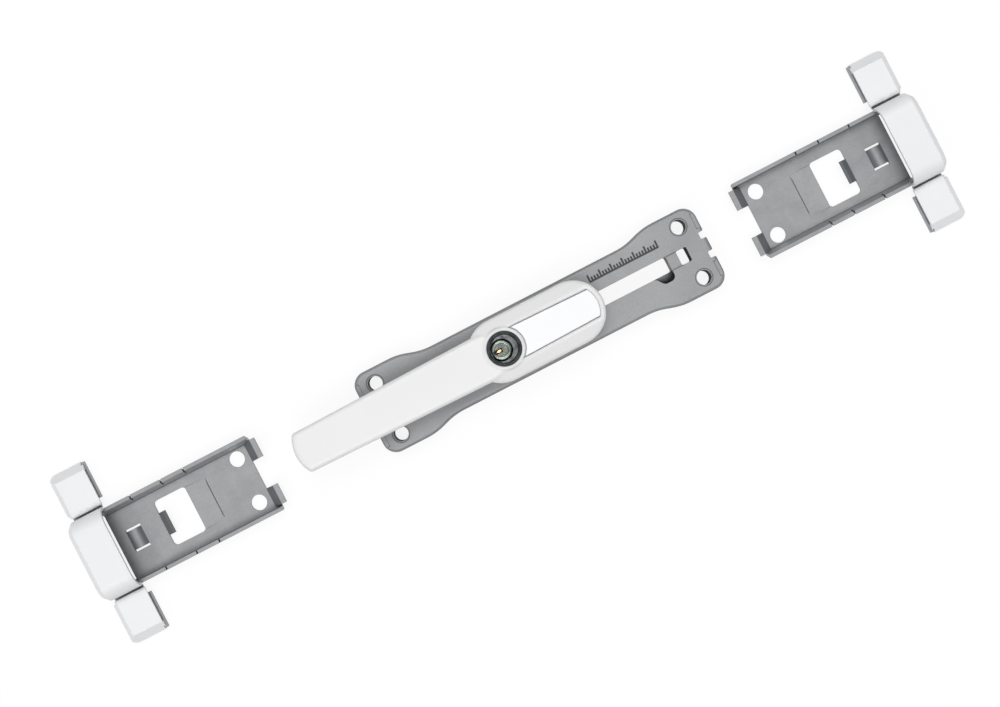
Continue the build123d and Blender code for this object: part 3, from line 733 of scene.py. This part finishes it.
buildSpring()
print("cylinder's small pieces built")

# Screw flaps: moulded lids with bevelled tops, whose outer tip corner is rounded
flapLook = {
    "tipBevel": (4.2, 2.4),  # how far in and how far down, in millimetres
    "sideBevel": (2.6, 1.9),
    "cornerRadius": 3.2,
    "cornerSegments": 8,
    "edgeRadius": 0.35,
    "edgeAngle": 30,
    "spare": 3.0,  # how far the cutting block stands past the flap
    "touching": 0.001,
}


def cuttingBlock(node, towardX, towardY):  # what of the flap stays, with its corner and bevels
    low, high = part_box(node)
    spare = mm(flapLook["spare"])
    tipX, farX = (high.x, low.x - spare) if towardX > 0 else (low.x, high.x + spare)
    tipY, farY = (high.y, low.y - spare) if towardY > 0 else (low.y, high.y + spare)
    block = addShape(
        "cube",
        "block",
        scale=(abs(tipX - farX), abs(tipY - farY), high.z - low.z + 2 * spare),
        size=1,
        location=((tipX + farX) / 2, (tipY + farY) / 2, (low.z + high.z) / 2),
    )
    bpy.ops.object.mode_set(mode="EDIT")
    bpy.ops.mesh.select_mode(type="EDGE")
    bpy.ops.mesh.select_all(action="DESELECT")
    corner, touching = Vector((tipX, tipY)), mm(flapLook["touching"])
    shape = bmesh.from_edit_mesh(block.data)
    for edge in shape.edges:
        edge.select_set(all((vertex.co.xy - corner).length < touching for vertex in edge.verts))
    bmesh.update_edit_mesh(block.data)
    bpy.ops.mesh.bevel(offset=mm(flapLook["cornerRadius"]), segments=flapLook["cornerSegments"])
    cuts = (
        ((low.x, tipY, high.z), (0, towardY), flapLook["tipBevel"]),
        ((tipX, low.y, high.z), (towardX, 0), flapLook["sideBevel"]),
    )
    for place, way, (inward, down) in cuts:
        bpy.ops.mesh.select_all(action="SELECT")
        bpy.ops.mesh.bisect(
            plane_co=(place[0] - way[0] * mm(inward), place[1] - way[1] * mm(inward), place[2]),
            plane_no=(way[0] * down, way[1] * down, inward),
            use_fill=True,
            clear_outer=True,
        )
    bpy.ops.object.mode_set(mode="OBJECT")
    return block


def buildFlap(node, towardX, towardY):
    piece = copyOf(node, "lid_" + node)
    block = cuttingBlock(node, towardX, towardY)
    shapeBy(piece, "BOOLEAN", operation="INTERSECT", solver="EXACT", object=block)
    bpy.data.objects.remove(block, do_unlink=True)
    dress(piece, "white_plastic")
    roundEdges(piece, flapLook["edgeRadius"], flapLook["edgeAngle"])
    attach(piece, bodyOf(node))
    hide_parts(node)


for side, towardX in (("right", 1), ("left", -1)):
    for level, towardY in (("upper", 1), ("lower", -1)):
        buildFlap(side + "_flap_" + level, towardX, towardY)
print("flaps built")

# Travel scale beside the slot: a plain row of strokes where the casting carries its marking
scaleMark = {
    "slotStart": 119.1,  # from the body's left end, in millimetres
    "fromSlotStart": 2.2,
    "length": 35.6,
    "above": 10.8,
    "strokes": 25,
    "longEvery": 4,
    "longStroke": 3.9,
    "shortStroke": 2.5,
    "strokeWidth": 0.9,
    "railWidth": 0.9,
    "railSpare": 0.8,  # how much longer than the row of strokes' middles
    "railShare": 0.9,  # a little lower than the strokes, which stand on it
    "proud": 0.08,
    "bevel": 0.05,
}


def addBar(name, middle, size, bevel):  # a small raised bar with broken edges
    piece = addShape("cube", name, scale=size, size=1, location=middle)
    shapeBy(piece, "BEVEL", width=bevel, segments=1)
    return piece


def copyAlong(piece, distance):  # a copy with its own mesh, moved along the length
    twin = piece.copy()
    twin.data = piece.data.copy()
    bpy.context.scene.collection.objects.link(twin)
    twin.location = (distance, 0, 0)
    pick(twin)
    bpy.ops.object.transform_apply(location=True, rotation=True, scale=True)
    return twin


def buildScale():
    low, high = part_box("lock_body")
    look = scaleMark
    start = low.x + mm(look["slotStart"] + look["fromSlotStart"])
    foot = mm(look["above"] - look["longStroke"] / 2)
    length, rail, bevel = mm(look["length"]), mm(look["railWidth"]), mm(look["bevel"])
    height = 2 * mm(look["proud"])  # half of it sinks into the body
    railMiddle = (start + length / 2, foot + rail / 2, high.z)
    railSize = (length + mm(look["railSpare"]), rail, height * look["railShare"])
    row = [addBar("travelScale", railMiddle, railSize, bevel)]
    first = {}
    for kind in ("longStroke", "shortStroke"):
        reach = mm(look[kind]) - rail / 2
        middle = (start, foot + (rail + reach) / 2, high.z)
        first[kind] = addBar(kind, middle, (mm(look["strokeWidth"]), reach, height), bevel)
    for index in range(look["strokes"]):
        kind = "shortStroke" if index % look["longEvery"] else "longStroke"
        row.append(copyAlong(first[kind], index * length / (look["strokes"] - 1)))
    for piece in first.values():
        bpy.data.objects.remove(piece, do_unlink=True)
    pick(*row)
    bpy.ops.object.join()
    dress(row[0], "ink")
    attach(row[0], "root")


buildScale()
print("travel scale set")

# Photo studio: a white table seen through every hole, a dome and three lamps
studio = {
    "tableSize": 3.0,
    "tableBelow": 0.1,  # millimetres under the piece
    "tableColour": "#FFFFFF",
    "tableRoughness": 0.9,
    "bounceColour": "#C4C4C4",  # what the table sends back up to the piece
    "shadowShare": 0.12,  # how much of the table's white is lit, so that it keeps the shadow
    "domeRim": 0.1,
    "domeTop": 0.73,
    "domeMiddle": 0.25,  # dark round the camera, so that flat metal stays quiet
    "middleStart": 0.9,
    "middleFull": 0.98,
    "lamps": {  # where each stands, how strong and how wide in degrees
        "lowerLamp": ((-0.1, -0.34, 1.0), 0.75, 28),
        "upperLamp": ((0.05, 0.38, 1.0), 0.81, 28),
        "glint": ((-0.75, -0.5, 1.0), 0.25, 7),
    },
}
pureWhite = (1.0, 1.0, 1.0, 1.0)


def addSun(name, origin, strength, spread):
    lamp = bpy.data.lights.new(name, "SUN")
    lamp.energy, lamp.angle = strength, math.radians(spread)
    sun = bpy.data.objects.new(name, lamp)
    bpy.context.scene.collection.objects.link(sun)
    sun.location = origin
    sun.rotation_euler = (-Vector(origin)).to_track_quat("-Z", "Y").to_euler()


def whiteTable():  # white to the camera, to mirrors and to glass, plain grey to the light
    material, tree, shader, place = newMaterial("whiteTable")
    shader.inputs["Base Color"].default_value = srgb(studio["bounceColour"])
    shader.inputs["Roughness"].default_value = studio["tableRoughness"]
    cloth = addNode(tree, "ShaderNodeBsdfDiffuse", {"Color": srgb(studio["tableColour"])})
    white = addNode(tree, "ShaderNodeEmission", {"Color": pureWhite, "Strength": 1.0})
    glow = addNode(
        tree,
        "ShaderNodeMixShader",
        {0: studio["shadowShare"]},
        {1: white.outputs[0], 2: cloth.outputs[0]},
    )
    light = addNode(tree, "ShaderNodeLightPath")
    seen = addNode(
        tree,
        "ShaderNodeMath",
        {"operation": "ADD", "use_clamp": True},
        {0: light.outputs["Is Camera Ray"], 1: light.outputs["Is Glossy Ray"]},
    )
    either = addNode(
        tree,
        "ShaderNodeMath",
        {"operation": "ADD", "use_clamp": True},
        {0: seen.outputs[0], 1: light.outputs["Is Transmission Ray"]},
    )
    mixed = addNode(
        tree,
        "ShaderNodeMixShader",
        links={0: either.outputs[0], 1: shader.outputs[0], 2: glow.outputs[0]},
    )
    output = next(n for n in tree.nodes if n.bl_idname == "ShaderNodeOutputMaterial")
    tree.links.new(mixed.outputs[0], output.inputs["Surface"])
    return material


def buildDome():  # brightest high up, dark right overhead; the camera sees plain white
    world = bpy.data.worlds.new("dome")
    bpy.context.scene.world = world
    world.use_nodes = True
    tree = world.node_tree
    tree.nodes.clear()
    way = addNode(tree, "ShaderNodeTexCoord")
    height = addNode(tree, "ShaderNodeSeparateXYZ", links={0: way.outputs["Generated"]})
    rising = addNode(
        tree,
        "ShaderNodeMapRange",
        {
            "From Max": studio["middleStart"],
            "To Min": studio["domeRim"],
            "To Max": studio["domeTop"],
        },
        {"Value": height.outputs["Z"]},
    )
    falling = addNode(
        tree,
        "ShaderNodeMapRange",
        {
            "From Min": studio["middleStart"],
            "From Max": studio["middleFull"],
            "To Min": 1.0,
            "To Max": studio["domeMiddle"] / studio["domeTop"],
        },
        {"Value": height.outputs["Z"]},
    )
    level = addNode(
        tree,
        "ShaderNodeMath",
        {"operation": "MULTIPLY"},
        {0: rising.outputs[0], 1: falling.outputs[0]},
    )
    light = addNode(tree, "ShaderNodeLightPath")
    strength = addNode(
        tree,
        "ShaderNodeMix",
        {"data_type": "FLOAT", 3: 1.0},
        {0: light.outputs["Is Camera Ray"], 2: level.outputs[0]},
    )
    sky = addNode(
        tree, "ShaderNodeBackground", {"Color": pureWhite}, {"Strength": strength.outputs[0]}
    )
    addNode(tree, "ShaderNodeOutputWorld", links={"Surface": sky.outputs[0]})


tablePlace = (0, 0, -mm(studio["tableBelow"]))
table = addShape("plane", "table", size=studio["tableSize"], location=tablePlace)
table.data.materials.append(whiteTable())
buildDome()
for name, (origin, strength, spread) in studio["lamps"].items():
    addSun(name, origin, strength, spread)

# Camera: straight above the set's middle, turned so that the long axis rises to the right
cameraSet = {
    "height": 0.725,
    "turn": -27.3,
    "pixelsPerMetre": 2100,
    "imageWidth": 1000,
    "sensorWidth": 36.0,
    "middleRight": 7.5,  # where the set's middle lies from the image's centre, in pixels
    "middleUp": 6.5,
    "clip": (0.01, 10.0),
}


def buildCamera():
    data = bpy.data.cameras.new("copyStand")
    data.sensor_width = cameraSet["sensorWidth"]
    field = cameraSet["imageWidth"] / cameraSet["pixelsPerMetre"]
    data.lens = data.sensor_width * cameraSet["height"] / field
    data.shift_x = -cameraSet["middleRight"] / cameraSet["imageWidth"]
    data.shift_y = -cameraSet["middleUp"] / cameraSet["imageWidth"]
    data.clip_start, data.clip_end = cameraSet["clip"]
    camera = bpy.data.objects.new("copyStand", data)
    bpy.context.scene.collection.objects.link(camera)
    camera.location = (0, 0, cameraSet["height"])
    camera.rotation_euler = (0, 0, math.radians(cameraSet["turn"]))
    bpy.context.scene.camera = camera


buildCamera()
bpy.context.scene.view_settings.view_transform = "Standard"
print("studio and camera set")
